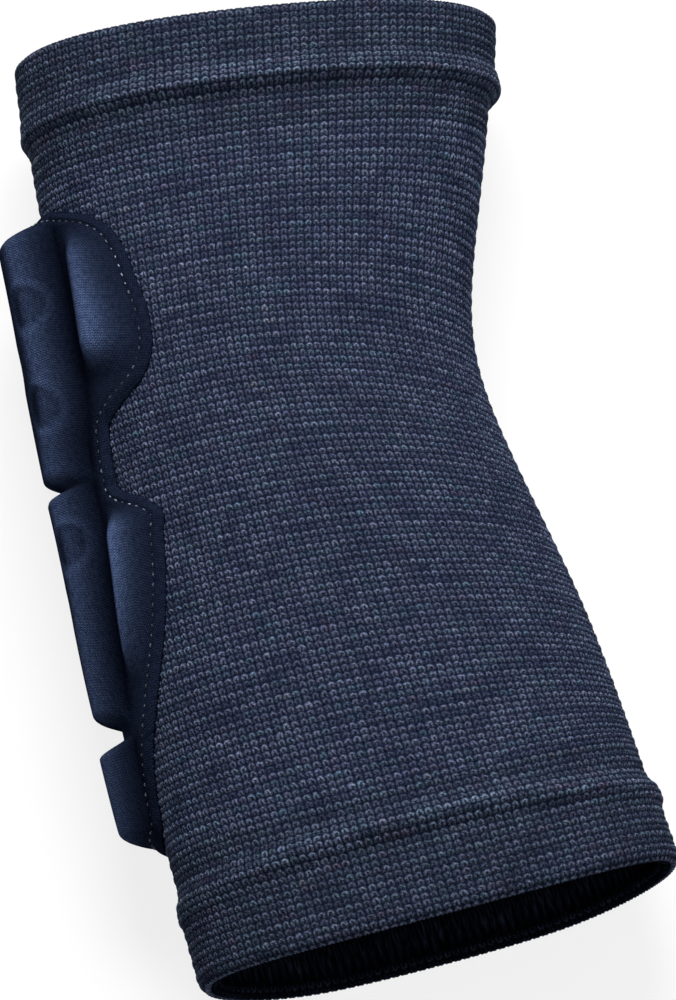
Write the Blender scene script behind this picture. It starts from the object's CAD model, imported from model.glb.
"""Slip-on elbow pad: a knitted sleeve with turned hems and a moulded foam pad sewn over the elbow.

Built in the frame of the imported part, in metres, lying on its side on the table.
Sizes in the sections are in millimetres, and MM turns them into metres.
"""

import math
from collections import namedtuple

import bpy
import numpy as np
from mathutils import Matrix, Vector


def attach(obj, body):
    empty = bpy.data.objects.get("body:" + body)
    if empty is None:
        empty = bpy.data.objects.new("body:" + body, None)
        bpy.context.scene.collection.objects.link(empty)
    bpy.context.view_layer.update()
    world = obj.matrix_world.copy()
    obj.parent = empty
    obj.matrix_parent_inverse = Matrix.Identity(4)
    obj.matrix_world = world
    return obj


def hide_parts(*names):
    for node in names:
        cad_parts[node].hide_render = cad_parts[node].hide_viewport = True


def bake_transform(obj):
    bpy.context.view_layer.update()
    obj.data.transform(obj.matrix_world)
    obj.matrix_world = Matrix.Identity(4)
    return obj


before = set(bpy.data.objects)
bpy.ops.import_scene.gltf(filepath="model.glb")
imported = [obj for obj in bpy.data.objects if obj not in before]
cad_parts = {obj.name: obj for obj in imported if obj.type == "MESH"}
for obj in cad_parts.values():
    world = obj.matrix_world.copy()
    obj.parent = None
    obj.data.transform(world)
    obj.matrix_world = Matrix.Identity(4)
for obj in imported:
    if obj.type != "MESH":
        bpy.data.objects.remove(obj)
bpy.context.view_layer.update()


# Knitted sleeve
# One seamless tube of plain knit in a heathered navy yarn, bent a little at the elbow.
# It is made in four lengths that meet edge to edge, so that it can bend with the arm.
MM = 0.001
SLEEVE_LENGTH = 216.0
SLEEVE_DEPTH = 60.0
SQUARENESS = 2.28
SETTLE = 1.5
SETTLE_SOFT = 1.6
LOWER_BOW = 3.0
ELBOW_AT = 82.0
BEND_DEG = 13.8
BEND_SPREAD = 46.0
UPPER_TILT_DEG = 2.9
LOWER_TILT_DEG = 12.2
LINE_POINTS = 433
ROUND_POINTS = 2001
HEM_LENGTH = 19.0
SLEEVE_WIDTHS = (
    (0.0, 111.0),
    (HEM_LENGTH, 107.6),
    (ELBOW_AT, 92.6),
    (157.0, 107.0),
    (SLEEVE_LENGTH, 110.6),
)
HEM_PROUD = 1.0
ROLL_AT = 17.3
ROLL_UP_SIDE = 5.6
ROLL_DOWN_SIDE = 4.2
ROLL_HEIGHT = 1.7
ROLL_TOP_SHARE = 0.5
ROLL_BACK_SHARE = 0.35
ROLL_BACK_FADE = 1.8
LOWER_ROLL_DIP = 4.4
LOWER_ROLL_LOSS = 0.4

KNIT_WALL = 1.6
WALES = 140
WALE = 2.0
COURSE = 1.6
ARCH_DOWN = 1.0
ARCH_RADIUS = 0.5
YARN_HALF = 0.31
LEG_FADE = 0.75
WEAK_COURSE = 0.4
LOOP_COLUMNS = 4
LOOP_ROWS = 4
LOOP_LIFT = 0.45
LOOP_LEVEL = 0.35
CREST_PALE = 0.45
BAKE_EDGE = 0.01
OUTER_BAKE = 0.9
INNER_BAKE = 0.08
KNIT_COURSES = (0, 26, 54, 80, 98)
LAST_COURSE = KNIT_COURSES[-1]
HEM_JOIN = (SLEEVE_LENGTH - LAST_COURSE * COURSE) / 2.0
DIP_START = -0.3
COURSE_DIP = (
    (HEM_JOIN, 0.0),
    (46.0, 4.2),
    (ELBOW_AT, 9.5),
    (106.0, 8.8),
    (150.0, 6.2),
    (172.0, 3.6),
    (SLEEVE_LENGTH - HEM_JOIN, 0.0),
)


def ease(value):
    value = np.clip(value, 0.0, 1.0)
    return value * value * (3.0 - 2.0 * value)


def curve_through(knots, at):
    """Smooth curve through (place, value) knots, flat beyond its ends."""
    place = np.array([k[0] for k in knots], dtype=float)
    value = np.array([k[1] for k in knots], dtype=float)
    slope = np.gradient(value, place)
    at = np.clip(at, place[0], place[-1])
    i = np.clip(np.searchsorted(place, at, side="right") - 1, 0, len(place) - 2)
    span = place[i + 1] - place[i]
    u = (at - place[i]) / span
    ahead = u * u * (3.0 - 2.0 * u)
    bend = u * (1.0 - u) ** 2 * slope[i] + u * u * (u - 1.0) * slope[i + 1]
    return value[i] + (value[i + 1] - value[i]) * ahead + bend * span


line_s = np.linspace(0.0, SLEEVE_LENGTH, LINE_POINTS)
line_heading = math.radians(BEND_DEG) * ease((line_s - ELBOW_AT) / BEND_SPREAD + 0.5)
line_step = line_s[1] - line_s[0]
line_x = np.concatenate(([0.0], np.cumsum(np.sin(line_heading[1:]) * line_step)))
line_y = np.concatenate(([0.0], -np.cumsum(np.cos(line_heading[1:]) * line_step)))
line_x = line_x - np.interp(ELBOW_AT, line_s, line_x)
line_y = line_y - np.interp(ELBOW_AT, line_s, line_y)


def sleeve_tilt(s):
    return np.radians(UPPER_TILT_DEG + (LOWER_TILT_DEG - UPPER_TILT_DEG) * s / SLEEVE_LENGTH)


def sleeve_oval(s, turn):
    """Place and outward direction on the oval section at s: turn 0 is the crook, 90 degrees the top."""
    a = curve_through(SLEEVE_WIDTHS, s) / 2.0
    b = SLEEVE_DEPTH / 2.0
    cos, sin = np.cos(turn), np.sin(turn)
    flat_x = np.sign(cos) * np.abs(cos) ** (2.0 / SQUARENESS)
    flat_z = np.sign(sin) * np.abs(sin) ** (2.0 / SQUARENESS)
    nx = np.sign(cos) * np.abs(flat_x) ** (SQUARENESS - 1.0) / a
    nz = np.sign(sin) * np.abs(flat_z) ** (SQUARENESS - 1.0) / b
    size = np.hypot(nx, nz)
    return a * flat_x, b * flat_z, nx / size, nz / size


def face_height(s, turn):
    """Height of the outer face over the tube: none on the sleeve, proud on a hem.

    Each hem has a roll at its inner edge.
    """
    lower = s > SLEEVE_LENGTH / 2.0
    from_rim = np.where(lower, SLEEVE_LENGTH - s - LOWER_ROLL_DIP * np.sin(turn) ** 2, s)
    roll = ROLL_HEIGHT * (1.0 + ROLL_TOP_SHARE * np.sin(turn) ** 2)
    roll = roll * (ROLL_BACK_SHARE + (1.0 - ROLL_BACK_SHARE) * ease(ROLL_BACK_FADE * (1.0 + np.cos(turn))))
    roll = roll * np.where(lower, 1.0 - LOWER_ROLL_LOSS * np.maximum(np.cos(turn), 0.0) ** 2, 1.0)
    rim_side = np.where(lower, ROLL_DOWN_SIDE, ROLL_UP_SIDE)
    sleeve_side = np.where(lower, ROLL_UP_SIDE, ROLL_DOWN_SIDE)
    band = HEM_PROUD + roll * ease(1.0 - (ROLL_AT - from_rim) / rim_side)
    fall = (HEM_PROUD + roll) * ease(1.0 - (from_rim - ROLL_AT) / sleeve_side)
    return np.where(from_rim < ROLL_AT, band, fall)


def on_sleeve(s, turn, out):
    """Points at s along the sleeve, turned round it and out from the tube, in metres.

    The underside lies flat.
    """
    s, turn, out = np.broadcast_arrays(np.asarray(s, float), turn, out)
    x, z, nx, nz = sleeve_oval(s, turn)
    along = x + nx * out
    height = SLEEVE_DEPTH / 2.0 - SETTLE + z + nz * out
    lowest = face_height(s, turn) + LOOP_LIFT - out
    above = height - lowest
    settled = lowest + (above + np.hypot(above, SETTLE_SOFT)) / 2.0
    slant = sleeve_tilt(s)
    last_third = ease(s / SLEEVE_LENGTH * 3.0 - 2.0)
    bow = LOWER_BOW * np.sin(turn) ** 2 * last_third
    px = np.interp(s, line_s, line_x) + along * np.cos(slant) + bow * np.sin(slant)
    py = np.interp(s, line_s, line_y) + along * np.sin(slant) - bow * np.cos(slant)
    return np.stack((px, py, settled), axis=-1) * MM


def run_along(*places):
    """Length along a line of points from its start, given one coordinate at a time."""
    steps = np.sqrt(sum(np.diff(place) ** 2 for place in places))
    return np.concatenate(([0.0], np.cumsum(steps)))


round_turn = np.linspace(0.0, 2.0 * math.pi, ROUND_POINTS)
round_x, round_z, _, _ = sleeve_oval(np.full(ROUND_POINTS, ELBOW_AT), round_turn)
round_run = run_along(round_x, round_z)


def wale_turn(wale):
    """How far round the sleeve a wale stands, with the wales evenly spaced."""
    return np.interp(wale / WALES, round_run / round_run[-1], round_turn)


def loop_lift(wale, course):
    """Lift of the looped yarn: each loop is an arch on two legs, and every second course stands lower."""
    across = (wale % 1.0 - 0.5) * WALE
    down = course % 1.0 * COURSE - ARCH_DOWN
    off = np.hypot(across, np.minimum(down, 0.0)) - ARCH_RADIUS
    leg = 1.0 - LEG_FADE * np.maximum(down, 0.0) / (COURSE - ARCH_DOWN)
    weak = 1.0 - WEAK_COURSE * (np.floor(course) % 2.0)
    return (np.exp(-((off / YARN_HALF) ** 2)) * leg * weak - LOOP_LEVEL) * LOOP_LIFT


def make_piece(name, points, faces, maps, materials, material_of_face=None, joined=()):
    """A smooth mesh with its named cloth maps given corner by corner.

    Joined are the points where it meets the next length, which shade as if the cloth ran on.
    """
    mesh = bpy.data.meshes.new(name)
    mesh.from_pydata(np.asarray(points).reshape(-1, 3).tolist(), [], faces)
    for map_name, corners in maps.items():
        layer = mesh.uv_layers.new(name=map_name)
        layer.data.foreach_set("uv", np.asarray(corners, np.float32).ravel())
    for material in materials:
        mesh.materials.append(material)
    if material_of_face is not None:
        mesh.polygons.foreach_set("material_index", material_of_face)
    mesh.shade_smooth()
    if len(joined):
        ends = np.empty(len(mesh.edges) * 2, np.int32)
        mesh.edges.foreach_get("vertices", ends)
        at_join = np.isin(ends, joined).reshape(-1, 2).all(axis=1)
        mesh.edges.foreach_set("use_edge_sharp", at_join)
    mesh.update()
    piece = bpy.data.objects.new(name, mesh)
    bpy.context.scene.collection.objects.link(piece)
    return piece


def grid_corners(values):
    """The four corners of every square of a grid, in the order that grid faces take them."""
    return np.stack((values[:-1, :-1], values[:-1, 1:], values[1:, 1:], values[1:, :-1]), axis=2)


def map_corners(across, along, order=(0, 1, 2, 3)):
    """A cloth map over a grid, at the four corners of every square."""
    return grid_corners(np.stack((across, along), axis=2))[:, :, list(order)].reshape(-1, 2)


def inside_sheet(places):
    """Places on a bake sheet, drawn in a little from its edges."""
    return BAKE_EDGE + (1.0 - 2.0 * BAKE_EDGE) * places


def srgb(red, green, blue):
    """A colour as seen on screen, 0 to 255, as the linear colour that a material takes."""
    shown = np.array((red, green, blue)) / 255.0
    linear = np.where(shown <= 0.04045, shown / 12.92, ((shown + 0.055) / 1.055) ** 2.4)
    return (*(float(c) for c in linear), 1.0)


def start_material(name):
    """A new material, its node tree and its surface shader."""
    material = bpy.data.materials.new(name)
    material.use_nodes = True
    tree = material.node_tree
    return material, tree, tree.nodes["Principled BSDF"]


def feed(tree, socket, value):
    """Joins a value or another node's output to a socket."""
    if isinstance(value, bpy.types.NodeSocket):
        tree.links.new(value, socket)
    else:
        socket.default_value = value


def add_node(tree, kind, inputs):
    """A new node in a material, with its inputs fed."""
    node = tree.nodes.new("ShaderNode" + kind)
    for socket, value in inputs.items():
        feed(tree, node.inputs[socket], value)
    return node


def sum_of(tree, kind, first, second=0.0, third=0.0):
    """One step of arithmetic in a material."""
    step = tree.nodes.new("ShaderNodeMath")
    step.operation = kind
    for socket, value in zip(step.inputs, (first, second, third)):
        feed(tree, socket, value)
    return step.outputs[0]


def product(tree, first, second):
    return sum_of(tree, "MULTIPLY", first, second)


def cloth_place(tree, map_name):
    """The two places on a cloth map."""
    place = tree.nodes.new("ShaderNodeUVMap")
    place.uv_map = map_name
    parts = add_node(tree, "SeparateXYZ", {0: place.outputs[0]})
    return parts.outputs[0], parts.outputs[1]


def joined_place(tree, across, along):
    return add_node(tree, "CombineXYZ", {0: across, 1: along}).outputs[0]


def mottle(tree, across, along, scale, detail=2.0):
    """Soft random tone, 0 to 1, at a place on the cloth."""
    spot = joined_place(tree, across, along)
    return add_node(tree, "TexNoise", {"Vector": spot, "Scale": scale, "Detail": detail}).outputs[0]


def chance_of_loop(tree, wale, row):
    """A random number for each loop, 0 to 1."""
    chance = tree.nodes.new("ShaderNodeTexWhiteNoise")
    chance.noise_dimensions = "2D"
    tree.links.new(joined_place(tree, sum_of(tree, "FLOOR", wale), row), chance.inputs["Vector"])
    return chance.outputs["Value"]


def wander(tree, place, apart, scale, reach):
    """A place that strays a little, as yarn does."""
    stray = mottle(tree, sum_of(tree, "ADD", place[0], apart), place[1], scale, 1.0)
    return sum_of(tree, "MULTIPLY_ADD", stray, 2.0 * reach, -reach)


def tone_ramp(tree, value, *stops):
    """Colours along a value, as (place, colour) stops."""
    ramp = tree.nodes.new("ShaderNodeValToRGB")
    ramp.color_ramp.elements[0].position = stops[0][0]
    ramp.color_ramp.elements[0].color = stops[0][1]
    ramp.color_ramp.elements[1].position = stops[-1][0]
    ramp.color_ramp.elements[1].color = stops[-1][1]
    for place, colour in stops[1:-1]:
        ramp.color_ramp.elements.new(place).color = colour
    tree.links.new(value, ramp.inputs[0])
    return ramp.outputs[0]


def tone_share(tree, value, low, high, least=0.0, most=1.0):
    """Least below low, most above high, and a straight slope between."""
    slope = {"Value": value, "From Min": low, "From Max": high, "To Min": least, "To Max": most}
    return add_node(tree, "MapRange", slope).outputs[0]


def mix_colours(tree, share, first, second):
    mix = tree.nodes.new("ShaderNodeMix")
    mix.data_type = "RGBA"
    feed(tree, mix.inputs[0], share)
    feed(tree, mix.inputs[6], first)
    feed(tree, mix.inputs[7], second)
    return mix.outputs[2]


def brighter(tree, colour, times):
    scaled = tree.nodes.new("ShaderNodeVectorMath")
    scaled.operation = "SCALE"
    feed(tree, scaled.inputs[0], colour)
    feed(tree, scaled.inputs["Scale"], times)
    return scaled.outputs[0]


def finish_surface(tree, shader, colour, roughness, height, depth):
    """Gives a shader its colour, its roughness and a fine relief, depth in metres."""
    feed(tree, shader.inputs["Base Color"], colour)
    shader.inputs["Roughness"].default_value = roughness
    relief = add_node(tree, "Bump", {"Height": height, "Distance": depth})
    tree.links.new(relief.outputs[0], shader.inputs["Normal"])


# A stray is (apart, scale, reach), a grain or patch is the scale of a mottle,
# and tones are (low, high, least, most) as tone_share takes them.
WALE_STRAY = (0.0, 1.3, 0.2)
COURSE_STRAY = (57.0, 1.1, 0.24)
FAINT_PATCH = 0.21
FAINT_TONES = (0.35, 0.65, -0.4, -3.4)
TINT_STREAK = (0.3, 1.9)
FIBRE_GRAIN = 2.7
FIBRE_TONES = (0.38, 0.62, 0.25, 1.75)
GAP_TONES = (0.38, 0.62, 0.4, 1.6)
FLECK_GRAIN = 1.9
FLECK_TONES = (0.66, 0.78, 0.0)
CLOUD_PATCH = 0.13
CLOUD_TONES = (0.3, 0.7, 0.85, 1.15)
LOOP_TONES = (0.0, 1.0, 0.78, 1.22)
KNIT_RELIEF = 0.0004


def heather_knit(name, yarn_tones, gap_tone, pale):
    """Heathered yarn in arched loops, dark between the wales, with fuzzy fibres and a few pale flecks."""
    material, tree, shader = start_material(name)
    place = cloth_place(tree, "Loops")
    wale = sum_of(tree, "ADD", place[0], wander(tree, place, *WALE_STRAY))
    course = sum_of(tree, "ADD", place[1], wander(tree, place, *COURSE_STRAY))
    across = sum_of(tree, "MULTIPLY_ADD", sum_of(tree, "FRACT", wale), WALE, -WALE / 2.0)
    down = sum_of(tree, "MULTIPLY_ADD", sum_of(tree, "FRACT", course), COURSE, -ARCH_DOWN)
    above = sum_of(tree, "MINIMUM", down, 0.0)
    away = sum_of(tree, "MULTIPLY_ADD", across, across, product(tree, above, above))
    off = sum_of(tree, "SUBTRACT", sum_of(tree, "SQRT", away), ARCH_RADIUS)
    off = sum_of(tree, "DIVIDE", off, YARN_HALF)
    arch = sum_of(tree, "EXPONENT", product(tree, product(tree, off, off), -1.0))
    below = sum_of(tree, "MAXIMUM", down, 0.0)
    leg = sum_of(tree, "MULTIPLY_ADD", below, -LEG_FADE / (COURSE - ARCH_DOWN), 1.0)
    row = sum_of(tree, "FLOOR", course)
    second_row = sum_of(tree, "FRACT", product(tree, row, 0.5))
    faint = tone_share(tree, mottle(tree, *place, FAINT_PATCH), *FAINT_TONES)
    faint = product(tree, faint, WEAK_COURSE)
    weak = sum_of(tree, "MULTIPLY_ADD", second_row, faint, 1.0)
    height = product(tree, product(tree, arch, leg), weak)

    streak = product(tree, wale, TINT_STREAK[0]), product(tree, row, TINT_STREAK[1])
    tint = mottle(tree, *streak, 1.0, 3.0)
    across_mm, along_mm = product(tree, wale, WALE), product(tree, course, COURSE)
    fibre = mottle(tree, across_mm, along_mm, FIBRE_GRAIN, 3.0)
    fleck = mottle(tree, along_mm, across_mm, FLECK_GRAIN)
    cloud = mottle(tree, *place, CLOUD_PATCH)
    uneven = tone_share(tree, chance_of_loop(tree, wale, row), *LOOP_TONES)
    uneven = product(tree, uneven, tone_share(tree, fibre, *FIBRE_TONES))
    uneven = product(tree, uneven, tone_share(tree, cloud, *CLOUD_TONES))
    uneven = sum_of(tree, "ADD", uneven, tone_share(tree, fleck, *FLECK_TONES, pale))
    pulled, _ = cloth_place(tree, "Stretch")
    uneven = product(tree, uneven, sum_of(tree, "MULTIPLY_ADD", pulled, CREST_PALE, 1.0))
    yarn = brighter(tree, tone_ramp(tree, tint, *yarn_tones), uneven)
    gap = brighter(tree, gap_tone[:3], tone_share(tree, fibre, *GAP_TONES))
    shader.inputs["Specular IOR Level"].default_value = 0.0
    fuzz = sum_of(tree, "MULTIPLY_ADD", fibre, 0.5, height)
    finish_surface(tree, shader, mix_colours(tree, height, gap, yarn), 1.0, fuzz, KNIT_RELIEF)
    return material


NAVY_YARN = (
    (0.28, srgb(89, 87, 110)),
    (0.42, srgb(84, 94, 121)),
    (0.52, srgb(98, 105, 129)),
    (0.62, srgb(78, 98, 119)),
    (0.74, srgb(114, 119, 138)),
)
INSIDE_YARN = (
    (0.3, srgb(20, 23, 35)),
    (0.7, srgb(31, 35, 50)),
)
NAVY_GAP = srgb(20, 26, 45)
INSIDE_GAP = srgb(3, 4, 7)
sleeve_yarn = heather_knit("heathered_navy_knit", NAVY_YARN, NAVY_GAP, 1.0)
sleeve_inside = heather_knit("inside_of_the_knit", INSIDE_YARN, INSIDE_GAP, 0.0)


def course_s(course, turn):
    """How far down the sleeve a course stands. Round the crook of the elbow the courses dip."""
    s = HEM_JOIN + COURSE * course
    cos = np.cos(turn)
    aside = np.sign(cos) * np.abs(cos) ** (2.0 / SQUARENESS)
    dip = (np.maximum(aside - DIP_START, 0.0) / (1.0 - DIP_START)) ** 2
    return s + curve_through(COURSE_DIP, s) * dip


def knit_length(name, first, last):
    """A closed length of the sleeve between two courses: looped outside, plain inside."""
    wale = np.arange(WALES * LOOP_COLUMNS + 1) / LOOP_COLUMNS
    course = first + np.arange((last - first) * LOOP_ROWS + 1) / LOOP_ROWS
    wale, course = np.meshgrid(wale, course)
    turn = wale_turn(wale)
    outer = on_sleeve(course_s(course, turn), turn, loop_lift(wale, course))[:, :-1]
    inner_wale, inner_course = wale[::LOOP_ROWS, ::LOOP_COLUMNS], course[::LOOP_ROWS, ::LOOP_COLUMNS]
    inner_turn = wale_turn(inner_wale)
    inner = on_sleeve(course_s(inner_course, inner_turn), inner_turn, -KNIT_WALL)[:, :-1]
    rows, columns = outer.shape[:2]
    outer_id = np.arange(rows * columns).reshape(rows, columns)
    inner_id = rows * columns + np.arange(inner.shape[0] * WALES).reshape(-1, WALES)
    outer_ring = np.concatenate((outer_id, outer_id[:, :1]), axis=1)
    inner_ring = np.concatenate((inner_id, inner_id[:, :1]), axis=1)
    faces = grid_corners(outer_ring).reshape(-1, 4).tolist()
    faces += grid_corners(inner_ring).reshape(-1, 4)[:, ::-1].tolist()
    loops = [map_corners(wale, course), map_corners(inner_wale, inner_course, (3, 2, 1, 0))]
    outside_faces = (rows - 1) * columns
    for edge in (0, -1):
        for w in range(WALES):
            outer_edge = outer_ring[edge, w * LOOP_COLUMNS:(w + 1) * LOOP_COLUMNS + 1].tolist()
            rim = outer_edge + [int(inner_ring[edge, w + 1]), int(inner_ring[edge, w])]
            faces.append(rim[::-1] if edge == 0 else rim)
            loops.append(np.tile((w + 0.5, first if edge == 0 else last), (len(rim), 1)))
    loops = np.concatenate(loops)
    baked = np.stack((loops[:, 0] / WALES, (loops[:, 1] - first) / (last - first)), axis=1)
    baked = inside_sheet(baked)
    shown = outside_faces * 4
    baked[:shown, 1] = 1.0 - OUTER_BAKE + OUTER_BAKE * baked[:shown, 1]
    baked[shown:, 1] = INNER_BAKE * baked[shown:, 1]
    kind = np.ones(len(faces), np.int32)
    kind[:outside_faces] = 0
    points = np.concatenate((outer.reshape(-1, 3), inner.reshape(-1, 3)))
    maps = {"Loops": loops, "Stretch": 0.0 * loops, "OFBake": baked}
    joined = np.concatenate((outer_id[0], outer_id[-1]))
    return make_piece(name, points, faces, maps, (sleeve_yarn, sleeve_inside), kind, joined)


def bends_at_elbow(piece, *nodes):
    """Cloth or foam over the elbow, which follows the upper arm and then the elbow."""
    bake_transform(piece)
    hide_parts(*nodes)


def bends_at_forearm(piece, *nodes):
    """Cloth or foam below the lower groove, which follows the elbow and then the forearm."""
    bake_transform(piece)
    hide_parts(*nodes)


SLEEVE_LENGTHS = (
    ("knitted_upper_arm", bends_at_elbow, ("upper_arm_knit",)),
    ("knitted_above_elbow", bends_at_elbow, ()),
    ("knitted_elbow", bends_at_elbow, ("elbow_knit",)),
    ("knitted_forearm", bends_at_forearm, ("forearm_knit",)),
)
for (name, bends, nodes), first, last in zip(SLEEVE_LENGTHS, KNIT_COURSES, KNIT_COURSES[1:]):
    length = knit_length(name, first, last)
    bends(length, *nodes)


# Turned hems
# The ends of the sleeve are knitted on, folded inwards and linked down, so each hem is a doubled band.
# The linking row pulls a soft roll at the inner edge, and the band's hollow holds the elastic.
HEM_LAYER = 1.5
HEM_INNER = -3.9
RIM_TURN = 2.4
FACE_COURSES = int(round((HEM_JOIN - RIM_TURN) / COURSE))
RIM_COURSES = 4
LOOP_FADE = 2.0
FOLD_STEP = 0.5
FACE_BAKE = 0.85
# Places on the layers inside: how far from the rim, and how far out from the tube.
TURNED_LAYER = (
    (8.0, HEM_INNER),
    (13.0, HEM_INNER),
    (17.5, HEM_INNER),
    (18.8, -3.4),
    (19.6, -2.5),
    (19.9, -1.5),
    (19.5, -1.15),
    (18.9, -1.5),
    (17.8, -2.4),
    (8.0, HEM_INNER + HEM_LAYER),
    (3.4, HEM_INNER + HEM_LAYER),
    (2.7, (HEM_PROUD + HEM_INNER) / 2.0),
)
UNDER_FACE = (3.4, 8.0, 12.0, 14.6, ROLL_AT, 20.0, 23.0, 26.0, HEM_JOIN)


def turned_hem(name, at_lower_end):
    """One hem, with loops that run on from the sleeve's, over the roll and round the rim.

    The turned layer inside is smooth.
    """
    def from_start(from_rim):
        return SLEEVE_LENGTH - from_rim if at_lower_end else from_rim

    courses = FACE_COURSES + RIM_COURSES
    step = np.arange(courses * LOOP_ROWS + 1) / LOOP_ROWS
    half_turn = np.radians(90.0 - 180.0 * np.clip((step - FACE_COURSES) / RIM_COURSES, 0.0, 1.0))[:, None]
    middle, reach = (HEM_PROUD + HEM_INNER) / 2.0, (HEM_PROUD - HEM_INNER) / 2.0
    inside = np.array(TURNED_LAYER)
    under_face = np.array(UNDER_FACE)[:, None]
    folds = len(inside) + len(under_face) + 1
    fold_share = np.arange(1, folds + 1) / folds
    all_steps = np.concatenate((step, courses + FOLD_STEP * folds * fold_share))
    wale = np.arange(WALES * LOOP_COLUMNS + 1) / LOOP_COLUMNS
    turn = wale_turn(wale)[None, :]
    wale_grid, step_grid = np.meshgrid(wale, all_steps)
    course_grid = LAST_COURSE + step_grid if at_lower_end else -step_grid

    lift = loop_lift(wale_grid[:len(step)], course_grid[:len(step)])
    lift = lift * ease((courses - step) / LOOP_FADE)[:, None]
    face_rim = np.maximum(HEM_JOIN - COURSE * step, RIM_TURN)[:, None]
    face_rim = face_rim - np.cos(half_turn) * (RIM_TURN + lift)
    over_rim = middle + reach * np.sin(half_turn)
    face = np.where(step[:, None] > FACE_COURSES, over_rim, face_height(from_start(face_rim), turn))
    face = face + np.sin(half_turn) * lift
    under = np.maximum(face_height(from_start(under_face), turn) - HEM_LAYER, -KNIT_WALL)
    flat = np.ones_like(turn)
    s = from_start(np.concatenate((face_rim, inside[:, :1] * flat, under_face * flat)))
    out = np.concatenate((face, inside[:, 1:] * flat, under))
    points = on_sleeve(s, turn, out)[:, :-1]

    rows, columns = points.shape[:2]
    ids = np.arange(rows * columns).reshape(rows, columns)
    ids = np.concatenate((ids, ids[:, :1]), axis=1)
    ids = np.concatenate((ids, ids[:1]), axis=0)
    order = [0, 1, 2, 3] if at_lower_end else [3, 2, 1, 0]
    faces = grid_corners(ids)[:, :, order].reshape(-1, 4).tolist()
    loops = map_corners(wale_grid, course_grid, order)
    baked_row = np.concatenate((step / courses * FACE_BAKE, FACE_BAKE + (1.0 - FACE_BAKE) * fold_share))
    baked_row = np.broadcast_to(baked_row[:, None], wale_grid.shape)
    baked = inside_sheet(map_corners(wale_grid / WALES, baked_row, order))
    kind = np.ones((rows, columns), np.int32)
    kind[:int((FACE_COURSES + RIM_COURSES / 2.0) * LOOP_ROWS)] = 0
    crest = np.maximum(face_height(s, turn) - HEM_PROUD, 0.0) / ROLL_HEIGHT
    crest = np.concatenate((crest, crest[:1]))
    crest = map_corners(crest, 0.0 * crest, order)
    maps = {"Loops": loops, "Stretch": crest, "OFBake": baked}
    return make_piece(name, points, faces, maps, (hem_yarn, sleeve_inside), kind.ravel(), ids[0, :-1])


HEM_YARN = (
    (0.28, srgb(81, 79, 99)),
    (0.45, srgb(81, 89, 111)),
    (0.60, srgb(75, 91, 109)),
    (0.74, srgb(104, 109, 126)),
)
HEM_GAP = srgb(19, 24, 40)
hem_yarn = heather_knit("heathered_hem_knit", HEM_YARN, HEM_GAP, 0.8)
upper_hem = turned_hem("turned_hem_upper", False)
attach(upper_hem, "upper_arm")
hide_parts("upper_hem")
lower_hem = turned_hem("turned_hem_lower", True)
bends_at_forearm(lower_hem, "lower_hem")


# Elastic and linking thread inside the hems
# A woven elastic band lies loose in each hem, and a thicker thread links the turned edge to the sleeve.
# Both are out of sight, so they stay as the frame has them and only take their finish here.
ELASTIC_RIBS = 260.0
ELASTIC_TONES = ((0.1, srgb(14, 14, 17)), (0.9, srgb(34, 34, 39)))
ELASTIC_RELIEF = 0.0002
THREAD_PLIES = 900.0
THREAD_WEAR = 70.0
WORN_TONES = (0.46, 0.62, 0.08)
THREAD_RELIEF = 0.0001
elastic_cloth, elastic_tree, elastic_shader = start_material("woven_black_elastic")
elastic_place = add_node(elastic_tree, "TexCoord", {}).outputs["Object"]
elastic_ribs = add_node(elastic_tree, "TexWave", {"Vector": elastic_place, "Scale": ELASTIC_RIBS})
elastic_ribs.bands_direction = "Y"
elastic_height = elastic_ribs.outputs[1]
elastic_tones = tone_ramp(elastic_tree, elastic_height, *ELASTIC_TONES)
finish_surface(elastic_tree, elastic_shader, elastic_tones, 0.8, elastic_height, ELASTIC_RELIEF)


def twisted_thread(name, shade, glint):
    """Twisted sewing thread: fine slanting plies."""
    material, tree, shader = start_material(name)
    place = add_node(tree, "TexCoord", {}).outputs["Object"]
    plies = add_node(tree, "TexWave", {"Vector": place, "Scale": THREAD_PLIES, "Distortion": 1.0})
    plies.bands_direction = "DIAGONAL"
    worn = add_node(tree, "TexNoise", {"Vector": place, "Scale": THREAD_WEAR})
    clean = tone_share(tree, worn.outputs[0], *WORN_TONES)
    tones = tone_ramp(tree, plies.outputs[1], (0.2, shade), (0.8, glint))
    finish_surface(tree, shader, brighter(tree, tones, clean), 0.6, plies.outputs[1], THREAD_RELIEF)
    return material


linking_thread = twisted_thread("navy_linking_thread", srgb(24, 28, 48), srgb(44, 50, 74))
hidden_finishes = (
    (elastic_cloth, ("upper_hem_elastic", "lower_hem_elastic"), "elastic"),
    (linking_thread, ("upper_hem_thread", "lower_hem_thread"), "thread"),
)
for finish, nodes, slot in hidden_finishes:
    for node in nodes:
        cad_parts[node].data.materials.clear()
        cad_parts[node].data.materials.append(finish)


# Backing cloth of the pad
# Plain cloth cut to the pad's outline and laid on the sleeve, under the foam.
# The pad's edge stitching goes down through it, and the cover's edge folds down past it.
PAD_START = 36.5
UPPER_ROW = 65.5
MIDDLE_ROW = 60.5
LOWER_ROW = 26.5
UPPER_LOBE = 33.3
WAIST = 16.4
MIDDLE_LOBE = 28.0
LOWER_LOBE = 12.2
PAD_TURN_TOP_DEG = 2.5
PAD_TURN_END_DEG = -9.0
PAD_SKEW = 0.12
UPPER_GROOVE = UPPER_ROW
LOWER_GROOVE = UPPER_ROW + MIDDLE_ROW
PAD_LENGTH = UPPER_ROW + MIDDLE_ROW + LOWER_ROW
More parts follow.
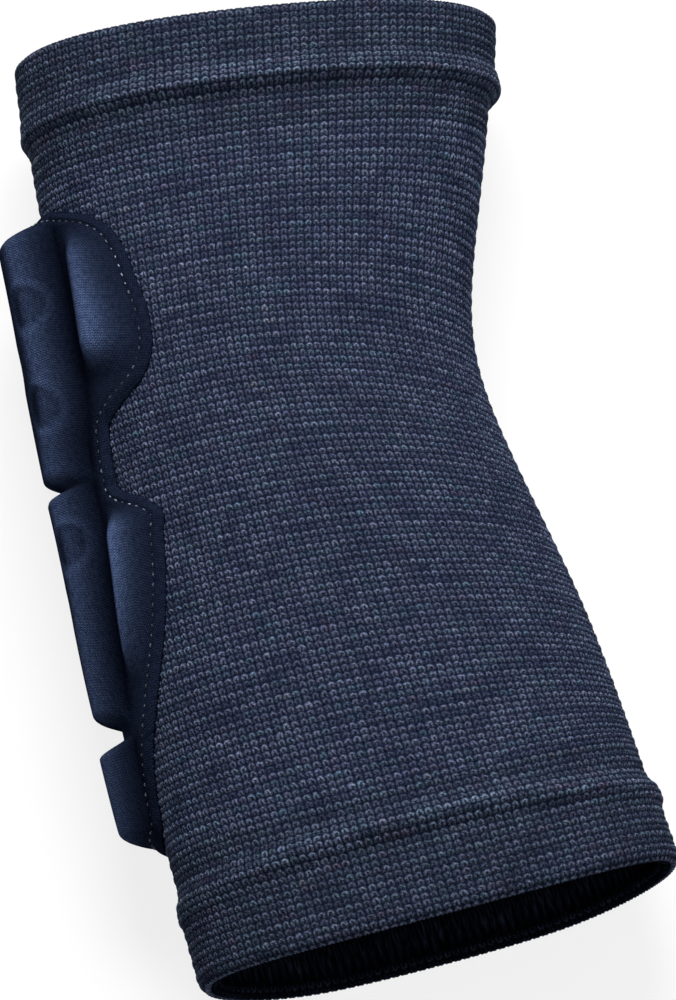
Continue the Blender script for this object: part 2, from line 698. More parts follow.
# Shares of a row's length, and of its lobe or of the waist.
UPPER_EDGE = (
    (0.0, 0.33),
    (0.038, 0.61),
    (0.069, 0.73),
    (0.105, 0.81),
    (0.16, 0.87),
    (0.31, 0.945),
    (0.47, 1.0),
    (0.59, 0.97),
    (0.685, 0.855),
    (0.765, 0.645),
)
UPPER_WAIST = ((0.81, 1.10), (0.88, 1.02), (1.0, 1.0))
MIDDLE_WAIST = ((0.05, 1.02),)
MIDDLE_EDGE = ((0.12, 0.88), (0.16, 0.98), (0.27, 0.98), (0.67, 0.87), (0.89, 0.71))
LOWER_EDGE = ((0.23, 1.18), (0.50, 1.0), (0.84, 0.78), (1.0, 0.34))
RUN_POINTS = 280
PAD_REACH = 42.0
ACROSS_POINTS = 169
SWEEP_TURN = 0.8 * math.pi
SWEEP_POINTS = 641
BAKE_HALF = 0.5
BAKE_WIDTH = 0.48
BACKING_FOOT = 0.45
BACKING_TOP = 1.25
BACKING_INSET = 2.6
BACKING_WEAVE = (0.8, 0.8)
BACKING_TONES = ((0.1, srgb(14, 16, 26)), (0.9, srgb(30, 33, 48)))
BACKING_RELIEF = 0.0001
BACKING_COLUMNS = 31
UPPER_BACKING_ROWS = 110
LOWER_BACKING_ROWS = 26


def along_row(start, row, width, shares):
    """Half widths along a row of the pad, from shares of its length and of a width."""
    return tuple((start + along * row, across * width) for along, across in shares)


PAD_OUTLINE = (
    along_row(0.0, UPPER_ROW, UPPER_LOBE, UPPER_EDGE)
    + along_row(0.0, UPPER_ROW, WAIST, UPPER_WAIST)
    + along_row(UPPER_GROOVE, MIDDLE_ROW, WAIST, MIDDLE_WAIST)
    + along_row(UPPER_GROOVE, MIDDLE_ROW, MIDDLE_LOBE, MIDDLE_EDGE)
    + along_row(LOWER_GROOVE, LOWER_ROW, LOWER_LOBE, LOWER_EDGE)
)


def pad_half(p):
    return curve_through(PAD_OUTLINE, p)


def pad_line(s):
    """Turn of the pad's middle line round the sleeve."""
    share = np.clip((s - PAD_START) / PAD_LENGTH, 0.0, 1.0)
    return math.pi - np.radians(PAD_TURN_TOP_DEG + (PAD_TURN_END_DEG - PAD_TURN_TOP_DEG) * share ** 3)


run_s = np.linspace(HEM_LENGTH, SLEEVE_LENGTH, RUN_POINTS)
run_points = on_sleeve(run_s, pad_line(run_s), 0.0) / MM
run_length = run_along(*run_points.T)
run_length = run_length - np.interp(PAD_START, run_s, run_length)
across_places = np.linspace(-PAD_REACH, PAD_REACH, ACROSS_POINTS)
sweep = np.linspace(-SWEEP_TURN, SWEEP_TURN, SWEEP_POINTS)
across_turns = []
for s in run_s:
    sweep_x, sweep_z, _, _ = sleeve_oval(np.full(SWEEP_POINTS, s), pad_line(s) - sweep)
    sweep_run = run_along(sweep_x, sweep_z)
    sweep_run = sweep_run - sweep_run[SWEEP_POINTS // 2]
    across_turns.append(pad_line(s) - np.interp(across_places, sweep_run, sweep))
across_turns = np.array(across_turns)


def read_grid(grid, i, j):
    """Value of a grid between its points, at row i and column j."""
    i0 = np.clip(i.astype(int), 0, grid.shape[0] - 2)
    j0 = np.clip(j.astype(int), 0, grid.shape[1] - 2)
    i, j = i - i0, j - j0
    near = grid[i0, j0] * (1.0 - j) + grid[i0, j0 + 1] * j
    far = grid[i0 + 1, j0] * (1.0 - j) + grid[i0 + 1, j0 + 1] * j
    return near * (1.0 - i) + far * i


def on_pad(p, q, out):
    """Points at p along the pad and q across it, standing out from the sleeve, in metres."""
    p, q, out = np.broadcast_arrays(np.asarray(p, float), q, out)
    s = np.interp(p + PAD_SKEW * q, run_length, run_s)
    i = (s - run_s[0]) / (run_s[1] - run_s[0])
    j = (q - across_places[0]) / (across_places[1] - across_places[0])
    return on_sleeve(s, read_grid(across_turns, i, j), out)


def layered_piece(name, p, q, top, foot, material, weave, joined_row=None, lie=None):
    """A closed layer on the pad between a top and a foot height.

    Its cloth map counts threads of the weave's size, laid flat or along a given lie.
    """
    def top_and_foot(values):
        return np.tile(values.ravel(), 2)

    rows, columns = p.shape
    points = np.concatenate((on_pad(p, q, top).reshape(-1, 3), on_pad(p, q, foot).reshape(-1, 3)))
    upper = np.arange(rows * columns).reshape(rows, columns)
    lower = upper + rows * columns
    faces = grid_corners(upper)[:, :, ::-1].reshape(-1, 4).tolist()
    faces += grid_corners(lower).reshape(-1, 4).tolist()
    round_top = np.concatenate((upper[0, :-1], upper[:-1, -1], upper[-1, :0:-1], upper[:0:-1, 0]))
    round_foot = round_top + rows * columns
    next_top, next_foot = np.roll(round_top, -1), np.roll(round_foot, -1)
    faces += np.stack((round_top, next_top, next_foot, round_foot), axis=1).tolist()
    corners = np.array(faces).ravel()
    across, along, stretch = (q, p, 0.0 * p) if lie is None else lie
    weave_map = np.stack((top_and_foot(across) / weave[0], top_and_foot(along) / weave[1]), axis=1)
    stretch_map = np.stack((top_and_foot(stretch), np.zeros(2 * p.size)), axis=1)
    baked_q = top_and_foot(q)[corners] / (2.0 * np.abs(q).max())
    baked_q = BAKE_HALF / 2.0 + BAKE_WIDTH * baked_q
    foot_face = np.repeat(corners.reshape(-1, 4).min(axis=1) >= rows * columns, 4)
    baked_q[foot_face] += BAKE_HALF
    baked_p = inside_sheet((top_and_foot(p)[corners] - p.min()) / np.ptp(p))
    baked = np.stack((baked_q, baked_p), axis=1)
    maps = {"Cloth": weave_map[corners], "Stretch": stretch_map[corners], "OFBake": baked}
    joined = () if joined_row is None else upper[joined_row]
    return make_piece(name, points, faces, maps, (material,), None, joined)


backing_cloth, backing_tree, backing_shader = start_material("dark_backing_cloth")
backing_threads = [
    sum_of(backing_tree, "SINE", product(backing_tree, place, 2.0 * math.pi))
    for place in cloth_place(backing_tree, "Cloth")
]
backing_over = sum_of(backing_tree, "MULTIPLY_ADD", product(backing_tree, *backing_threads), 0.5, 0.5)
backing_tones = tone_ramp(backing_tree, backing_over, *BACKING_TONES)
finish_surface(backing_tree, backing_shader, backing_tones, 0.9, backing_over, BACKING_RELIEF)


def backing_length(name, start, end, rows):
    """A length of the backing, cut to the pad's outline less its inset."""
    p = np.linspace(start, end, rows)[:, None]
    q = np.linspace(-1.0, 1.0, BACKING_COLUMNS)[None, :] * (pad_half(p) - BACKING_INSET)
    p = np.broadcast_to(p, q.shape)
    return layered_piece(name, p, q, BACKING_TOP, BACKING_FOOT, backing_cloth, BACKING_WEAVE)


upper_backing = backing_length("backing_cloth_upper", BACKING_INSET, LOWER_GROOVE, UPPER_BACKING_ROWS)
lower_end = PAD_LENGTH - BACKING_INSET
lower_backing = backing_length("backing_cloth_lower", LOWER_GROOVE, lower_end, LOWER_BACKING_ROWS)
bends_at_elbow(upper_backing, "upper_pad_backing", "middle_pad_backing")
bends_at_forearm(lower_backing, "lower_pad_backing")


# Foam blocks
# Closed-cell foam cut into seven blocks that sit side by side under the cover, three, three and one.
# The valleys between them let the pad flex, and each block is held down by the cover moulded over it.
UPPER_HEIGHT = 11.2
MIDDLE_HEIGHT = 10.0
LOWER_HEIGHT = 9.6
WING_HEIGHT = 7.9
CENTER_SLOPE = 7.0
UPPER_ENDS = (5.6, 5.6)
MIDDLE_ENDS = (4.1, 5.2)
LOWER_ENDS = (3.4, 6.0)
WING_ENDS = (9.0, 9.0)
WING_INNER_SLOPE = 6.5
WING_OUTER_SLOPE = 12.0
CROWN = 1.2
VALLEY_POWER = 4
UPPER_HALF = 13.7
MIDDLE_HALF = 11.4
LOWER_HALF = 10.6
UPPER_LEAN = 0.02
MIDDLE_LEAN = 0.13
WING_GAP = 1.5
WING_LEAST = 1.5
FLANGE_WIDTH = 2.8
FLANGE_TOP = 2.35
COVER_WALL = 0.8
BRIDGE_TOP = 3.1
BRIDGE_HALF = 9.0
BRIDGE_REACH = 7.0
BRIDGE_SLOPE = 3.0
DIMPLE_LONG = 6.0
DIMPLE_WIDE = 3.6
DIMPLE_WALL = 0.34
DIMPLE_DEPTH = 0.75
FOAM_INSET = 3.4
FOAM_EASE = 2.2
FOAM_SEAT = 0.3
FOAM_FOOT = BACKING_TOP + FOAM_SEAT
FOAM_LEAST = 0.6
FOAM_CLEAR = 0.4
FOAM_ROWS = 41
FOAM_COLUMNS = 25
FOAM_CELLS = (1.0, 1.0)
FOAM_GRAIN = 2.0
FOAM_TONES = ((0.3, srgb(58, 59, 63)), (0.7, srgb(92, 93, 97)))
FOAM_RELIEF = 0.0002
UPPER_GROOVE_HALF = 2.2
LOWER_GROOVE_HALF = 1.5
UPPER_SPAN = (0.0, UPPER_GROOVE - UPPER_GROOVE_HALF)
MIDDLE_SPAN = (UPPER_GROOVE + UPPER_GROOVE_HALF, LOWER_GROOVE - LOWER_GROOVE_HALF)
LOWER_SPAN = (LOWER_GROOVE + LOWER_GROOVE_HALF, PAD_LENGTH)
Block = namedtuple("Block", "middle reach edges top ends sides")


def center_block(middle, reach, sides, height, lean, end_slopes):
    """A block on the middle line, with its half length, long edges, height and end slopes."""
    def edges(p):
        side = curve_through(sides, p)
        return -side, side

    def top(p):
        return height * (1.0 - lean * (p - middle) / reach)
    return Block(middle, reach, edges, top, end_slopes, (CENTER_SLOPE, CENTER_SLOPE))


def wing_block(middle, reach, inner, side):
    """A block beside the middle line, on the side given. It falls away gently to the sewn edge."""
    def edges(p):
        outer = np.maximum(pad_half(p) - FLANGE_WIDTH, inner + WING_LEAST)
        return (inner + 0.0 * outer, outer) if side > 0 else (-outer, -inner + 0.0 * outer)

    def top(p):
        return WING_HEIGHT + 0.0 * p
    slopes = (WING_INNER_SLOPE, WING_OUTER_SLOPE)
    return Block(middle, reach, edges, top, WING_ENDS, slopes if side > 0 else slopes[::-1])


UPPER_WING = (0.365 * UPPER_ROW, 0.285 * UPPER_ROW, UPPER_HALF + WING_GAP)
MIDDLE_WING = (UPPER_GROOVE + 0.463 * MIDDLE_ROW, 0.345 * MIDDLE_ROW, MIDDLE_HALF + WING_GAP)
# Shares of a row's length, and of the half width of its middle block.
UPPER_SIDES = ((0.07, 0.89), (0.45, 1.0), (0.70, 1.02), (0.79, 0.94), (0.87, 0.84), (1.03, 0.75))
MIDDLE_SIDES = ((-0.03, 0.84), (0.06, 0.91), (0.18, 1.0), (0.80, 1.0), (0.94, 0.96))
LOWER_SIDES = ((-0.07, 1.0), (0.45, 0.96), (0.75, 0.80), (0.95, 0.58))
UPPER_CENTER = (
    0.522 * UPPER_ROW,
    0.501 * UPPER_ROW,
    along_row(0.0, UPPER_ROW, UPPER_HALF, UPPER_SIDES),
    UPPER_HEIGHT,
    UPPER_LEAN,
    UPPER_ENDS,
)
MIDDLE_CENTER = (
    UPPER_GROOVE + 0.460 * MIDDLE_ROW,
    0.484 * MIDDLE_ROW,
    along_row(UPPER_GROOVE, MIDDLE_ROW, MIDDLE_HALF, MIDDLE_SIDES),
    MIDDLE_HEIGHT,
    MIDDLE_LEAN,
    MIDDLE_ENDS,
)
LOWER_CENTER = (
    LOWER_GROOVE + 0.445 * LOWER_ROW,
    0.495 * LOWER_ROW,
    along_row(LOWER_GROOVE, LOWER_ROW, LOWER_HALF, LOWER_SIDES),
    LOWER_HEIGHT,
    0.0,
    LOWER_ENDS,
)
BLOCKS = {
    "upper_center_foam": (center_block(*UPPER_CENTER), UPPER_SPAN),
    "upper_front_foam": (wing_block(*UPPER_WING, 1), UPPER_SPAN),
    "upper_back_foam": (wing_block(*UPPER_WING, -1), UPPER_SPAN),
    "middle_center_foam": (center_block(*MIDDLE_CENTER), MIDDLE_SPAN),
    "middle_front_foam": (wing_block(*MIDDLE_WING, 1), MIDDLE_SPAN),
    "middle_back_foam": (wing_block(*MIDDLE_WING, -1), MIDDLE_SPAN),
    "lower_center_foam": (center_block(*LOWER_CENTER), LOWER_SPAN),
}
# Where the dimples are, along the pad and across it.
DIMPLES = (
    (0.345 * UPPER_ROW, 7.4),
    (0.53 * UPPER_ROW, -1.6),
    (0.71 * UPPER_ROW, 7.4),
    (UPPER_GROOVE + 0.23 * MIDDLE_ROW, 6.0),
    (UPPER_GROOVE + 0.46 * MIDDLE_ROW, -1.6),
)


def block_rise(block, p, q, shrink):
    """How far a block has risen at a place, 0 outside it and 1 on its flat top."""
    start, end = block.middle - block.reach, block.middle + block.reach
    low, high = block.edges(p)
    rise = 1.0
    for inside, slope in zip((p - start, end - p, q - low, high - q), block.ends + block.sides):
        rise = rise * np.sin(np.clip((inside - shrink) / slope, 0.0, 1.0) * math.pi / 2.0) ** CROWN
    return rise


def pad_top(p, q, shrink=0.0):
    """Height of the moulded pad over the sleeve; blocks that meet run together in a soft valley.

    Shrink draws the blocks in, for the hollow under the cover.
    """
    total = np.zeros(np.broadcast(p, q).shape)
    for block, _ in BLOCKS.values():
        total = total + ((block.top(p) - FLANGE_TOP) * block_rise(block, p, q, shrink)) ** VALLEY_POWER
    bridge = ease((BRIDGE_HALF - shrink - np.abs(q)) / BRIDGE_SLOPE)
    bridge = bridge * ease((BRIDGE_REACH - np.abs(p - LOWER_GROOVE)) / BRIDGE_SLOPE)
    total = total + ((BRIDGE_TOP - FLANGE_TOP) * bridge) ** VALLEY_POWER
    top = FLANGE_TOP + total ** (1.0 / VALLEY_POWER)
    for along, across in DIMPLES:
        away = np.hypot((p - along) / DIMPLE_LONG, (q - across) / DIMPLE_WIDE)
        top = top - DIMPLE_DEPTH * ease((1.0 - away) / DIMPLE_WALL)
    return np.maximum(top, FLANGE_TOP)


foam_skin, foam_tree, foam_shader = start_material("grey_closed_cell_foam")
foam_cells = mottle(foam_tree, *cloth_place(foam_tree, "Cloth"), FOAM_GRAIN, 4.0)
foam_colours = tone_ramp(foam_tree, foam_cells, *FOAM_TONES)
finish_surface(foam_tree, foam_shader, foam_colours, 0.9, foam_cells, FOAM_RELIEF)

for node, (block, span) in BLOCKS.items():
    start = max(block.middle - block.reach + FOAM_INSET, span[0] + FOAM_EASE)
    end = min(block.middle + block.reach - FOAM_INSET, span[1] - FOAM_EASE)
    p = np.linspace(start, end, FOAM_ROWS)[:, None]
    low, high = block.edges(p)
    width = np.maximum(high - low - 2.0 * FOAM_INSET, 1.0)
    share = np.linspace(0.0, 1.0, FOAM_COLUMNS)[None, :]
    q = (low + high) / 2.0 + (share - 0.5) * width
    p = np.broadcast_to(p, q.shape)
    from_edge = np.minimum(np.minimum(share, 1.0 - share) * width, np.minimum(p - start, end - p))
    ceiling = pad_top(p, q, COVER_WALL) - COVER_WALL - FOAM_CLEAR
    round_off = np.sqrt(1.0 - (1.0 - np.clip(from_edge / FOAM_EASE, 0.0, 1.0)) ** 2)
    top = FOAM_FOOT + FOAM_LEAST + np.maximum(ceiling - FOAM_FOOT - FOAM_LEAST, 0.0) * round_off
    name = "foam_" + node.replace("_foam", "")
    foam = layered_piece(name, p, q, top, FOAM_FOOT, foam_skin, FOAM_CELLS)
    if node == "lower_center_foam":
        bends_at_forearm(foam, node)
    else:
        bends_at_elbow(foam, node)


# Moulded cover
# One sheet of fine navy jersey, hot-moulded over the foam so that the blocks stand up in soft ridges.
# Oval dimples and two pressed grooves hold the foam in place, and its turned edge is sewn to the sleeve.
EDGE_ROUND = 2.6
EDGE_TOP = 0.7
EDGE_FOOT = 0.05
EDGE_SWELL = 0.15
STITCH_INSET = 2.3
STITCH_PRESS = 0.4
STITCH_PRESS_HALF = 0.5
COVER_PITCH = 0.46
COVER_COLUMNS = 141
COVER_LEAST = 0.3
SWELL_EVEN = 0.6
SWELL_SHARE = 0.15
CREST_AT = 0.8
CREST_HALF = 0.36
CENTER_CREST = 0.65
MIDDLE_WING_CREST = 2.0
UPPER_WING_CREST = 1.1
VALLEY_SLACK = 0.2
VALLEY_HALF = 0.4
DIMPLE_SLACK = 0.2
JERSEY_WALE = 0.7
JERSEY_COURSE = 0.62
JERSEY_SLANT = 1.3
JERSEY_CLOUD = (0.9, 0.5)
JERSEY_RELIEF = 0.00014
JERSEY_DYE = ((0.3, srgb(44, 57, 88)), (0.7, srgb(69, 83, 113)))
JERSEY_SUNK = srgb(4, 6, 18)
SUNK_SHARE = 0.8
TAUT_TONES = (-0.5, 2.4, 0.2, 3.0)
OUTLINE_POINTS = 1200
LIE_PITCH = 0.5
LIE_HALF = 36.0
LIE_BLUR = 14
DIMPLE_FALL = 3.0
DIMPLE_RIM = 1.05
DIMPLE_RIM_HALF = 0.15


def jersey(name):
    """Fine smooth jersey: small slanting stitches in a V, paler where it is stretched."""
    material, tree, shader = start_material(name)
    across, along = cloth_place(tree, "Cloth")
    side = sum_of(tree, "ABSOLUTE", sum_of(tree, "SUBTRACT", sum_of(tree, "FRACT", across), 0.5))
    slant = product(tree, sum_of(tree, "MULTIPLY_ADD", side, JERSEY_SLANT, along), 2.0 * math.pi)
    stitch = sum_of(tree, "MULTIPLY_ADD", sum_of(tree, "SINE", slant), 0.5, 0.5)
    wale_round = sum_of(tree, "COSINE", product(tree, side, 4.0 * math.pi))
    wale = sum_of(tree, "MULTIPLY_ADD", wale_round, -0.5, 0.5)
    height = product(tree, stitch, sum_of(tree, "MULTIPLY_ADD", wale, 0.8, 0.2))
    cloud = product(tree, across, JERSEY_CLOUD[0]), product(tree, along, JERSEY_CLOUD[1])
    cloud = mottle(tree, *cloud, 1.0, 4.0)
    stretch, _ = cloth_place(tree, "Stretch")
    dye = tone_ramp(tree, cloud, *JERSEY_DYE)
    taut = tone_share(tree, stretch, *TAUT_TONES)
    dye = brighter(tree, dye, product(tree, taut, taut))
    sunk = mix_colours(tree, SUNK_SHARE, dye, JERSEY_SUNK)
    shader.inputs["Specular IOR Level"].default_value = 0.0
    finish_surface(tree, shader, mix_colours(tree, height, sunk, dye), 1.0, height, JERSEY_RELIEF)
    return material


cover_jersey = jersey("fine_navy_jersey")


def edge_distance(p, q):
    """How far inside the pad's outline a place is."""
    line_p = np.linspace(0.0, PAD_LENGTH, OUTLINE_POINTS)
    line_q = pad_half(line_p)
    nearest = []
    for row_p, row_q in zip(p, q):
        away = np.hypot(row_p[:, None] - line_p, np.abs(row_q)[:, None] - line_q)
        nearest.append(away.min(axis=1))
    return np.minimum(np.array(nearest), np.minimum(p, PAD_LENGTH - p))


def edge_relief(inside):
    """The turned edge swells a little, and the stitching presses a fine groove beside it."""
    across_edge = inside / STITCH_INSET * 2.0
    swell = EDGE_SWELL * ease(across_edge) * ease(2.0 - across_edge)
    return swell - STITCH_PRESS * np.exp(-(((inside - STITCH_INSET) / STITCH_PRESS_HALF) ** 2))


lie_p = np.arange(0.0, PAD_LENGTH + LIE_PITCH, LIE_PITCH)
lie_q = np.arange(-LIE_HALF, LIE_HALF + LIE_PITCH, LIE_PITCH)
lie_top = pad_top(lie_p[:, None], lie_q[None, :])
lie_along = np.cumsum(np.hypot(LIE_PITCH, np.gradient(lie_top, axis=0)), axis=0)
lie_across = np.cumsum(np.hypot(LIE_PITCH, np.gradient(lie_top, axis=1)), axis=1)
lie_across = lie_across - lie_across[:, lie_q.size // 2][:, None]
around = np.hanning(2 * LIE_BLUR + 1)
lie_swell = (lie_top - FLANGE_TOP) ** SWELL_EVEN
lie_stretch = np.pad(lie_swell, LIE_BLUR, mode="edge")
for axis in (0, 1):
    lie_stretch = np.apply_along_axis(np.convolve, axis, lie_stretch, around / around.sum(), "valid")
lie_stretch = SWELL_SHARE * (lie_swell - lie_stretch)
for node, (block, _) in BLOCKS.items():
    is_center = "center" in node
    wing_pull = UPPER_WING_CREST if "upper" in node else MIDDLE_WING_CREST
    pull = CENTER_CREST if is_center else wing_pull
    low, high = block.edges(lie_p[:, None])
    from_edge = np.minimum((lie_q - low) / block.sides[0], (high - lie_q) / block.sides[1])
    valley = np.exp(-((from_edge / VALLEY_HALF) ** 2)) if is_center else 0.0
    crest = pull * np.exp(-(((from_edge - CREST_AT) / CREST_HALF) ** 2)) - VALLEY_SLACK * valley
    from_start = (lie_p - block.middle + block.reach) / block.ends[0]
    from_end = (block.middle + block.reach - lie_p) / block.ends[1]
    lie_stretch = lie_stretch + crest * ease(np.minimum(from_start, from_end))[:, None]
for along, across in DIMPLES:
    away = np.hypot((lie_p[:, None] - along) / DIMPLE_LONG, (lie_q - across) / DIMPLE_WIDE)
    lie_stretch = lie_stretch - DIMPLE_SLACK * ease(DIMPLE_FALL * (1.0 - away))
    lie_stretch = lie_stretch + DIMPLE_SLACK * np.exp(-(((away - DIMPLE_RIM) / DIMPLE_RIM_HALF) ** 2))


def cloth_lie(p, q):
    """Place on the jersey, across and along, as it follows the blocks, and how far it stretches."""
    i, j = p / LIE_PITCH, (q - lie_q[0]) / LIE_PITCH
    return [read_grid(lie, i, j) for lie in (lie_across, lie_along, lie_stretch)]


def moulded_cover(name, start, end, joined_row):
    """A length of the cover: its top follows the blocks, and its free edges fold down to the sleeve."""
    rows = int(round((end - start) / COVER_PITCH)) + 1
    p = np.linspace(start, end, rows)[:, None]
    q = np.linspace(-1.0, 1.0, COVER_COLUMNS)[None, :] * pad_half(p)
    p = np.broadcast_to(p, q.shape)
    inside = edge_distance(p, q)
    fold = (1.0 - np.clip(inside / EDGE_ROUND, 0.0, 1.0)) ** 2
    top = pad_top(p, q) + edge_relief(inside)
    top = top + (EDGE_TOP - top) * fold
    hollow = pad_top(p, q, COVER_WALL) - COVER_WALL
    foot = np.minimum(hollow + (EDGE_FOOT - hollow) * fold, top - COVER_LEAST)
    weave = (JERSEY_WALE, JERSEY_COURSE)
    return layered_piece(name, p, q, top, foot, cover_jersey, weave, joined_row, cloth_lie(p, q))


upper_cover = moulded_cover("moulded_cover_upper", 0.0, LOWER_GROOVE, -1)
lower_cover = moulded_cover("moulded_cover_lower", LOWER_GROOVE, PAD_LENGTH, 0)
bends_at_elbow(upper_cover, "upper_pad_cover", "middle_pad_cover", "upper_flex_web")
bends_at_forearm(lower_cover, "lower_pad_cover", "lower_flex_web")


# Edge stitching
# A single row of lockstitch in a paler thread goes round the pad, just inside its turned edge.
# Each stitch is a short length of thread that dips through the cover and backing into the sleeve.
STITCH_PITCH = 2.3
STITCH_LENGTH = 1.1
THREAD_RADIUS = 0.19
THREAD_SINK = 0.1
SINK_SPREAD = 0.32
THREAD_RISE = 0.3
STITCH_RINGS = 7
STITCH_SIDES = 8
STITCH_TIP = 0.35
SINK_WAVES = (2.4, 0.7)
UP_REACH = 8.0
SIDE_POINTS = 900
END_POINTS = 60
END_SHARE = 0.99
pad_thread = twisted_thread("grey_pad_thread", srgb(84, 92, 114), srgb(158, 165, 182))


def stitch_line():
    """Places of the stitching round the pad, inside its outline, and the run along them."""
    side_p = np.linspace(0.0, PAD_LENGTH, SIDE_POINTS)
    side_q = pad_half(side_p)
    across = np.linspace(0.0, 1.0, END_POINTS)[:-1]
    p = np.concatenate((0.0 * across, side_p, PAD_LENGTH + 0.0 * across))
    q = np.concatenate((side_q[0] * across, side_q, side_q[-1] * (1.0 - across) * END_SHARE))
    step_p, step_q = np.gradient(p), np.gradient(q)
    size = np.hypot(step_p, step_q)
    p, q = p + STITCH_INSET * step_q / size, q - STITCH_INSET * step_p / size
    front = q > 0.0
    p, q = p[front], q[front]
    p, q = np.concatenate((p, p[::-1])), np.concatenate((q, -q[::-1]))
    points = on_pad(p, q, FLANGE_TOP) / MM
    return run_along(*points.T), p, q


def row_of_stitches(name, first_p, last_p):
    """The stitches between two places along the pad, as one piece of many short threads."""
    run, line_p, line_q = stitch_line()
    count = int(round(run[-1] / STITCH_PITCH))
    share = np.linspace(-0.5, 0.5, STITCH_RINGS)
    rise = np.cos(share * math.pi)
    angle = np.arange(STITCH_SIDES) * 2.0 * math.pi / STITCH_SIDES
    girth = STITCH_TIP + (1.0 - STITCH_TIP) * np.sqrt(np.maximum(rise, 0.0))
    girth = THREAD_RADIUS * MM * girth[:, None, None]
    points, faces = [], []
    for k in range(count):
        along = (k + 0.5) * run[-1] / count + share * STITCH_LENGTH
        p = np.interp(along, run, line_p)
        q = np.interp(along, run, line_q)
        if not first_p <= p.mean() < last_p:
            continue
        uneven = 0.5 + 0.5 * math.sin(k * SINK_WAVES[0]) * math.cos(k * SINK_WAVES[1])
        sink = THREAD_SINK + SINK_SPREAD * uneven
        spine = on_pad(p, q, pad_top(p, q) - STITCH_PRESS - sink + THREAD_RISE * rise)
        up = on_pad(p, q, UP_REACH) - on_pad(p, q, 0.0)
        up = up / np.linalg.norm(up, axis=1)[:, None]
        aside = np.cross(np.gradient(spine, axis=0), up)
        aside = aside / np.linalg.norm(aside, axis=1)[:, None]
        around = aside[:, None] * np.cos(angle)[None, :, None] + up[:, None] * np.sin(angle)[None, :, None]
        ids = np.arange(STITCH_RINGS * STITCH_SIDES).reshape(STITCH_RINGS, STITCH_SIDES)
        ids = ids + len(points) * STITCH_RINGS * STITCH_SIDES
        faces += grid_corners(np.concatenate((ids, ids[:, :1]), axis=1)).reshape(-1, 4)[:, ::-1].tolist()
        faces += [ids[0].tolist(), ids[-1, ::-1].tolist()]
        points.append(spine[:, None] + girth * around)
    return make_piece(name, np.concatenate(points), faces, {}, (pad_thread,))


upper_stitches = row_of_stitches("edge_stitches_upper", 0.0, LOWER_GROOVE)
lower_stitches = row_of_stitches("edge_stitches_lower", LOWER_GROOVE, PAD_LENGTH)
bends_at_elbow(upper_stitches, "upper_pad_stitching", "middle_front_stitching", "middle_back_stitching")
bends_at_forearm(lower_stitches, "lower_pad_stitching")


# Table and studio
# A plain white table under the pad, one large soft lamp over it and a weaker one at each side.
# The camera looks down steeply, as the photograph does, and rolls a little.
FLOOR_HALF = 6.0
FLOOR_TONES = (0.25, 1.0, 0.8)
TABLE_TONE = srgb(190, 190, 191)
STUDIO_LIGHT = 0.24
WHITE = (1.0, 1.0, 1.0, 1.0)
# Each lamp's name, place and size in metres, and power in watts.
LAMPS = (
    ("top_lamp", (0.05, 0.95, 1.15), 0.7, 25.5),
    ("side_lamp", (0.9, -0.4, 0.9), 0.8, 4.0),
    ("pad_side_lamp", (-0.9, -0.3, 0.9), 0.8, 1.6),
)
AIM = Vector((12.7, -28.23, 27.0)) * MM
CAMERA_DISTANCE = 1.8
CAMERA_ELEVATION = math.radians(74.8)
CAMERA_ROLL = math.radians(3.0)
SEEN_HEIGHT = 0.23
SENSOR = 36.0

table_top = bpy.data.meshes.new("table_top")
table_corners = [(x * FLOOR_HALF, y * FLOOR_HALF, 0.0) for x, y in ((-1, -1), (1, -1), (1, 1), (-1, 1))]
table_top.from_pydata(table_corners, [], [(0, 1, 2, 3)])
table = bpy.data.objects.new("table_top", table_top)
bpy.context.scene.collection.objects.link(table)


def show_white(tree, plain, white, output):
    """Shows the white to the camera and in gloss, while the plain one lights the pad."""
    ray = tree.nodes.new("ShaderNodeLightPath")
    seen = sum_of(tree, "MAXIMUM", ray.outputs["Is Camera Ray"], ray.outputs["Is Glossy Ray"])
    seen = sum_of(tree, "MAXIMUM", seen, ray.outputs["Is Transmission Ray"])
    mix = add_node(tree, "MixShader", {0: seen, 1: plain.outputs[0], 2: white.outputs[0]})
    tree.links.new(mix.outputs[0], tree.nodes[output].inputs["Surface"])


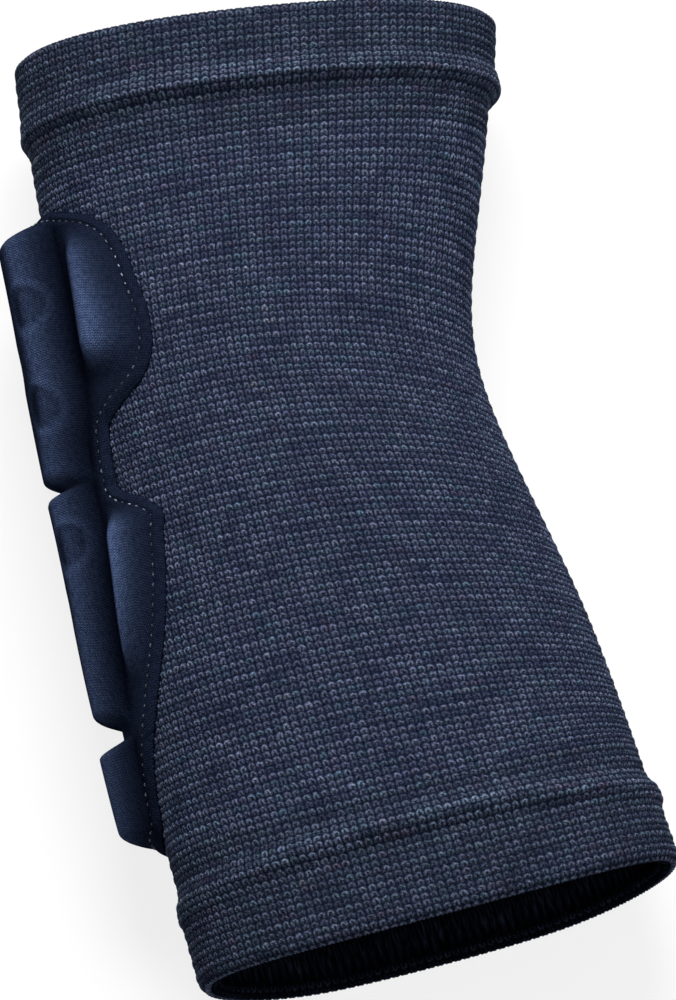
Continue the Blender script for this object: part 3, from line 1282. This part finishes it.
white_table, table_tree, table_shader = start_material("white_table")
table_shader.inputs["Base Color"].default_value = TABLE_TONE
table_shader.inputs["Roughness"].default_value = 0.9
table_shader.inputs["Specular IOR Level"].default_value = 0.0
table_place = table_tree.nodes.new("ShaderNodeTexCoord")
from_pad = table_tree.nodes.new("ShaderNodeVectorMath")
from_pad.operation = "LENGTH"
table_tree.links.new(table_place.outputs["Object"], from_pad.inputs[0])
shown = tone_share(table_tree, from_pad.outputs["Value"], *FLOOR_TONES)
paper = add_node(table_tree, "BsdfDiffuse", {0: sum_of(table_tree, "SUBTRACT", 1.0, shown)})
glow = add_node(table_tree, "Emission", {"Strength": shown})
shown_paper = add_node(table_tree, "AddShader", {0: paper.outputs[0], 1: glow.outputs[0]})
show_white(table_tree, table_shader, shown_paper, "Material Output")
table_top.materials.append(white_table)

studio = bpy.data.worlds.new("studio")
studio.use_nodes = True
studio_tree = studio.node_tree
studio_light = studio_tree.nodes["Background"]
studio_light.inputs[0].default_value = WHITE
studio_light.inputs[1].default_value = STUDIO_LIGHT
studio_white = add_node(studio_tree, "Background", {0: WHITE})
show_white(studio_tree, studio_light, studio_white, "World Output")
bpy.context.scene.world = studio

for name, place, size, power in LAMPS:
    light = bpy.data.lights.new(name, "AREA")
    light.shape = "SQUARE"
    light.size = size
    light.energy = power
    lamp = bpy.data.objects.new(name, light)
    lamp.location = place
    lamp.rotation_euler = (AIM - Vector(place)).to_track_quat("-Z", "Y").to_euler()
    bpy.context.scene.collection.objects.link(lamp)

lens = bpy.data.cameras.new("camera")
lens.sensor_fit = "VERTICAL"
lens.sensor_height = SENSOR
lens.sensor_width = SENSOR
lens.lens = SENSOR * CAMERA_DISTANCE / SEEN_HEIGHT
lens.clip_end = 50.0
camera = bpy.data.objects.new("camera", lens)
looking = Vector((0.0, math.cos(CAMERA_ELEVATION), -math.sin(CAMERA_ELEVATION)))
level_up = Vector((0.0, math.sin(CAMERA_ELEVATION), math.cos(CAMERA_ELEVATION)))
level_right = Vector((1.0, 0.0, 0.0))
right = level_right * math.cos(CAMERA_ROLL) - level_up * math.sin(CAMERA_ROLL)
up = level_up * math.cos(CAMERA_ROLL) + level_right * math.sin(CAMERA_ROLL)
camera_turn = Matrix((right, up, -looking)).transposed().to_4x4()
camera.matrix_world = Matrix.Translation(AIM - looking * CAMERA_DISTANCE) @ camera_turn
bpy.context.scene.collection.objects.link(camera)
bpy.context.scene.camera = camera
bpy.context.scene.view_settings.view_transform = "Standard"
